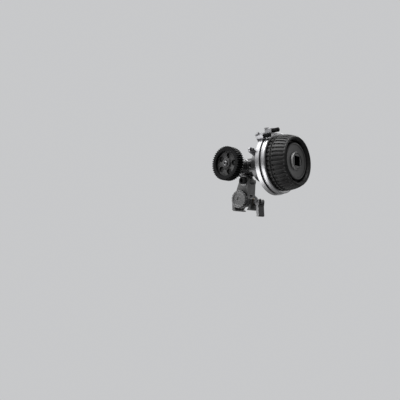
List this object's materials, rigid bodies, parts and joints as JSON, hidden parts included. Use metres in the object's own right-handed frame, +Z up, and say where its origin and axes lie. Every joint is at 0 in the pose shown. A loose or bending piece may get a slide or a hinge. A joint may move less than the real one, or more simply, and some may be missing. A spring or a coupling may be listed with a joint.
{
  "type": "follow focus unit",
  "caption": "Follow focus with a ribbed handwheel, marking rings with stops, right-angle gearbox, drive gear, swing arm and quick-release rail clamp.",
  "frame": {"origin": "centre of the rail seat, the flat underside of the clamp between its two jaws", "axes": "+X towards the handwheel's free face, -Y forward to the drive gear along the rail, +Z up from the rail"},
  "size_m": [0.0874, 0.0777, 0.0974],
  "materials": {
    "black_anodised": "black anodised, satin",
    "black_oxide": "black oxide, satin",
    "grey_anodised": "grey anodised, satin",
    "satin_aluminium": "satin, turned",
    "grip_rubber": "matte",
    "gear_plastic": "moulded, satin",
    "fibre": "friction fibre",
    "brass": "machined",
    "bearing_steel": "ground",
    "plain_steel": "machined"
  },
  "bodies": {
    "clamp": {"clamp_body": "black_anodised", "clamp_bolt": "plain_steel", "bolt_nut": "plain_steel", "guide_pins": "plain_steel", "jaw_spring": "plain_steel", "lever_pin": "plain_steel"},
    "jaw": {"moving_jaw": "black_anodised", "cam_saddle": "brass"},
    "lever": {"cam_lever": "black_anodised"},
    "arm": {"swing_arm": "black_anodised", "knob_washer": "plain_steel", "pivot_bolt": "black_oxide", "pivot_washer": "plain_steel", "pivot_nut": "black_oxide", "friction_discs": "fibre"},
    "knob": {"lock_knob": "grey_anodised", "knob_stud": "plain_steel"},
    "gearbox": {"gearbox_housing": "black_anodised", "gearbox_cover": "black_anodised", "cover_screws": "plain_steel", "bearing_lock_screw": "black_oxide", "input_bearing_inner": "bearing_steel", "input_bearing_outer": "bearing_steel", "input_spacer": "plain_steel", "output_bearing_inner": "bearing_steel", "output_bearing_outer": "bearing_steel", "output_spacer": "plain_steel", "back_plate": "black_anodised", "back_plate_screws": "black_oxide", "stop_peg": "black_oxide", "drag_washer": "fibre"},
    "wheel": {"input_shaft": "plain_steel", "input_bevel": "brass", "wheel_core": "black_anodised", "wheel_pin": "plain_steel", "wheel_screw": "plain_steel", "grip_ring": "grip_rubber", "front_cap": "black_anodised", "drive_socket": "black_oxide", "stop_ring": "satin_aluminium", "marking_ring": "satin_aluminium", "ring_screws": "plain_steel"},
    "stop_a": {"stop_a_block": "satin_aluminium"},
    "stop_a_thumb": {"stop_a_screw": "black_anodised"},
    "stop_b": {"stop_b_block": "satin_aluminium"},
    "stop_b_thumb": {"stop_b_screw": "black_anodised"},
    "drive": {"output_shaft": "plain_steel", "output_bevel": "brass", "drive_gear": "gear_plastic", "gear_collar": "plain_steel", "gear_pin": "plain_steel", "gear_screw": "plain_steel"}
  },
  "joints": [
    {"name": "jaw_slide", "type": "slide", "parent": "clamp", "child": "jaw", "axis": [1, 0, 0], "range_m": [0, 0.001]},
    {"name": "lever_turn", "type": "hinge", "parent": "clamp", "child": "lever", "pos_m": [0.01963, 0, 0.0041], "axis": [0, -1, 0], "range_deg": [0, 85]},
    {"name": "knob_turn", "type": "hinge", "parent": "clamp", "child": "knob", "pos_m": [0.003, 0, 0.0071], "axis": [0, 1, 0], "range_deg": [-360, 0]},
    {"name": "arm_swing", "type": "hinge", "parent": "clamp", "child": "arm", "pos_m": [0.003, 0, 0.0071], "axis": [0, 1, 0], "range_deg": [-40, 8]},
    {"name": "head_tilt", "type": "hinge", "parent": "arm", "child": "gearbox", "pos_m": [0.008, -0.0077, 0.0278], "axis": [0, -1, 0], "range_deg": [-20, 20]},
    {"name": "wheel_spin", "type": "hinge", "parent": "gearbox", "child": "wheel", "pos_m": [0.008, -0.0055, 0.0439], "axis": [1, 0, 0], "range_deg": [-290, 20]},
    {"name": "drive_spin", "type": "hinge", "parent": "gearbox", "child": "drive", "pos_m": [0.008, -0.0055, 0.0439], "axis": [0, 1, 0], "range_deg": [-295, 25]},
    {"name": "stop_a_shift", "type": "hinge", "parent": "wheel", "child": "stop_a", "pos_m": [0.008, -0.0055, 0.0439], "axis": [-1, 0, 0], "range_deg": [0, 9]},
    {"name": "stop_a_screw_turn", "type": "hinge", "parent": "stop_a", "child": "stop_a_thumb", "pos_m": [0.048, -0.03053, 0.07074], "axis": [1, 0, 0], "range_deg": [0, 360]},
    {"name": "stop_b_shift", "type": "hinge", "parent": "wheel", "child": "stop_b", "pos_m": [0.008, -0.0055, 0.0439], "axis": [1, 0, 0], "range_deg": [0, 8]},
    {"name": "stop_b_screw_turn", "type": "hinge", "parent": "stop_b", "child": "stop_b_thumb", "pos_m": [0.048, -0.01438, 0.07951], "axis": [1, 0, 0], "range_deg": [0, 360]}
  ],
  "couplings": [
    {"joint": "jaw_slide", "follows": "lever_turn", "m_per_rad": 0.00067},
    {"joint": "drive_spin", "follows": "wheel_spin", "ratio": 1}
  ]
}
